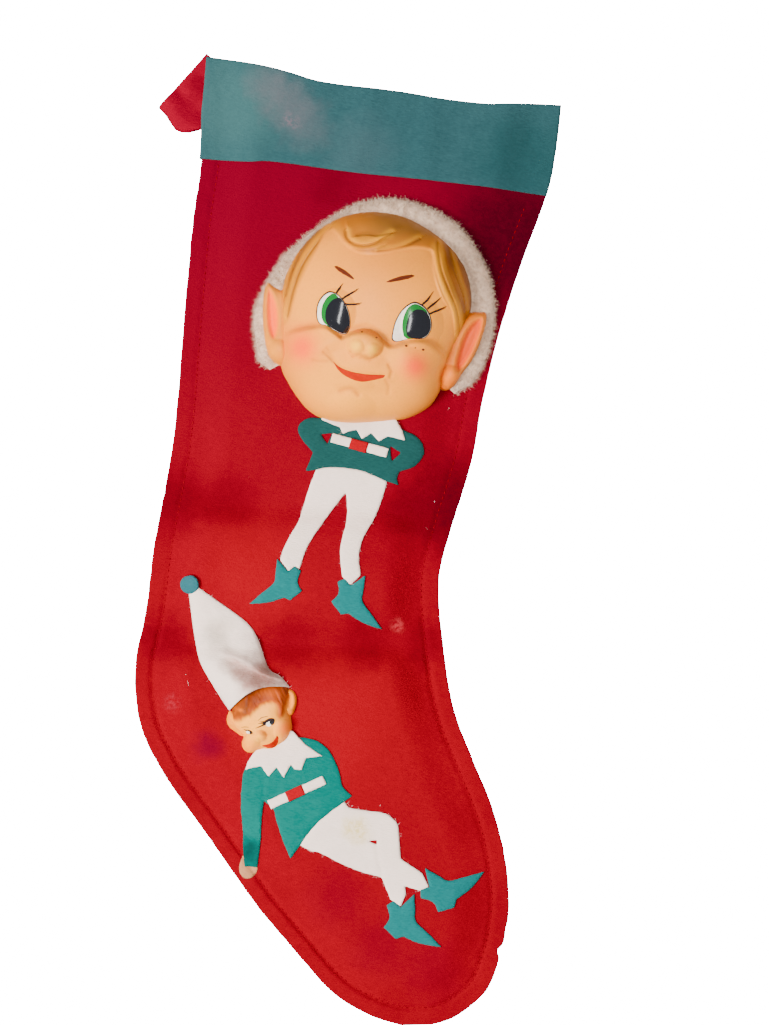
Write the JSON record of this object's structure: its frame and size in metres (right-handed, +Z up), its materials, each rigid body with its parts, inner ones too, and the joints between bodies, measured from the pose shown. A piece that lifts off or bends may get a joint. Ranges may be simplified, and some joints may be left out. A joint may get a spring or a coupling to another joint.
{
  "type": "hanging felt stocking",
  "caption": "Empty felt stocking with a cuff, a hinged hanging loop and two appliqued elves with hollow moulded faces, open at the top.",
  "frame": {"origin": "centre of the eye at the fold of the hanging loop", "axes": "+Z up along the leg towards the mouth, +X towards the toe side, -Y out of the decorated front"},
  "size_m": [0.2296, 0.0644, 0.4677],
  "materials": {
    "red_felt": "matt",
    "red_thread": "matt",
    "teal_felt": "matt",
    "white_plush": "fluffy",
    "painted_vinyl": "satin",
    "white_felt": "matt",
    "green_felt": "matt",
    "flesh_felt": "matt"
  },
  "bodies": {
    "stocking": {"front_panel": "red_felt", "back_panel": "red_felt", "edge_stitching": "red_thread", "cuff_front": "teal_felt", "cuff_back": "teal_felt", "loop_tack": "red_thread", "large_hood_trim": "white_plush", "large_face_mask": "painted_vinyl", "large_collar": "white_felt", "large_jacket": "green_felt", "large_belt": "white_felt", "large_buckle": "red_felt", "large_tights": "white_felt", "large_left_shoe": "green_felt", "large_right_shoe": "green_felt", "small_hat": "white_felt", "small_hat_pompon": "green_felt", "small_face_mask": "painted_vinyl", "small_collar": "white_felt", "small_jacket": "green_felt", "small_hand": "flesh_felt", "small_belt": "white_felt", "small_buckle": "red_felt", "small_tights": "white_felt", "small_front_shoe": "green_felt", "small_rear_shoe": "green_felt"},
    "loop": {"hanging_loop": "red_felt"}
  },
  "joints": [
    {"name": "loop_swing", "type": "hinge", "parent": "stocking", "child": "loop", "pos_m": [0.01454, -0.003, 0.02155], "axis": [0, 1, 0], "range_deg": [0, 145]}
  ]
}
